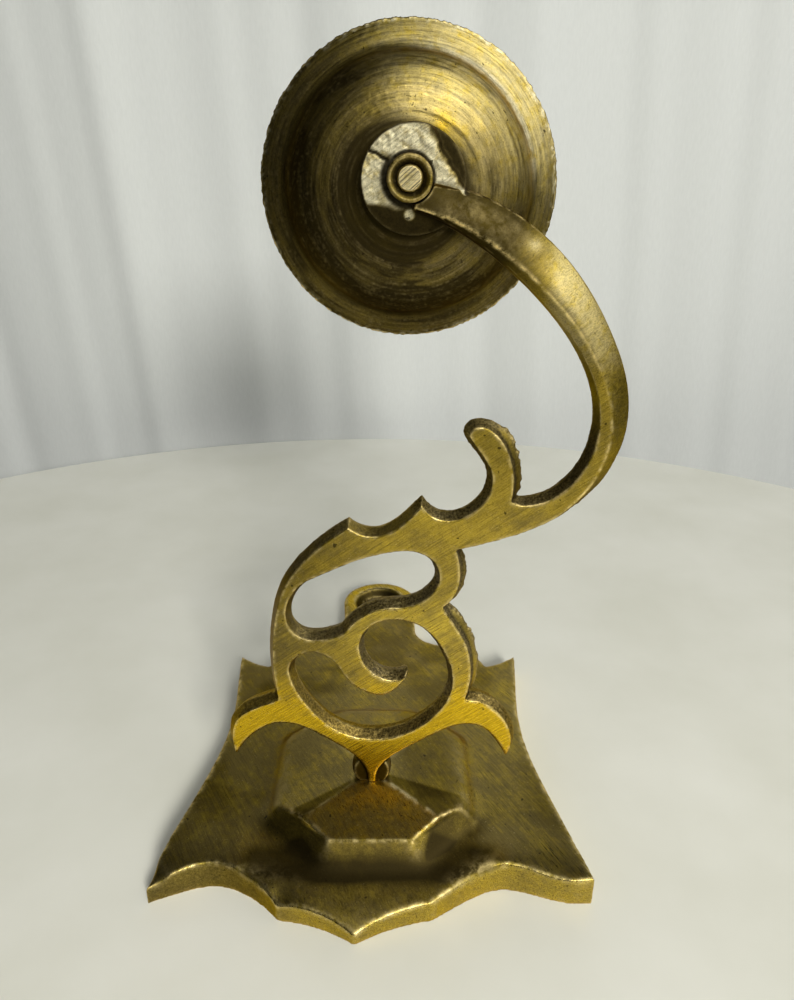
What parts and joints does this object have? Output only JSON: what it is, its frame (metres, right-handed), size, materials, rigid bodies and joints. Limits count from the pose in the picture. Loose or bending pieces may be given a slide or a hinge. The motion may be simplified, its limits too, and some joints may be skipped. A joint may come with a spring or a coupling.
{
  "type": "wall candle sconce",
  "caption": "Brass swing-arm wall sconce for one candle: flat scroll arm pivoting on a flared wall plate, with a round drip pan and candle socket.",
  "frame": {"origin": "centre of the hanging hole on the back face of the wall plate, the face that lies against the wall", "axes": "+Z leaves the back face through the plate towards the arm, so the plate lies flat and the arm stands up; +Y runs from the pointed end of the plate to its hanging lobe and is the way the candle leaves its socket; +X completes the right hand"},
  "size_m": [0.1465, 0.2076, 0.2554],
  "materials": {
    "cast_brass": "aged, brushed faces and rough cast edges",
    "spun_brass": "dark speckled patina with turning lines",
    "turned_brass": "dull turned"
  },
  "bodies": {
    "plate": {"wall_plate": "cast_brass"},
    "arm": {"scroll_arm": "cast_brass", "pivot_stud": "turned_brass", "pivot_washer": "turned_brass", "pivot_nut": "turned_brass", "pivot_locknut": "turned_brass"},
    "pan": {"drip_pan": "spun_brass"},
    "cup": {"candle_cup": "turned_brass", "cup_stud": "turned_brass", "ferrule_nut": "turned_brass"}
  },
  "joints": [
    {"name": "arm_swivel", "type": "hinge", "parent": "plate", "child": "arm", "pos_m": [0, -0.1405, 0.0235], "axis": [0, 0, 1], "continuous": true},
    {"name": "pan_turn", "type": "hinge", "parent": "arm", "child": "pan", "pos_m": [0.012, -0.1365, 0.2146], "axis": [0, 1, 0], "continuous": true},
    {"name": "cup_turn", "type": "hinge", "parent": "arm", "child": "cup", "pos_m": [0.012, -0.1365, 0.2177], "axis": [0, 1, 0], "continuous": true}
  ]
}
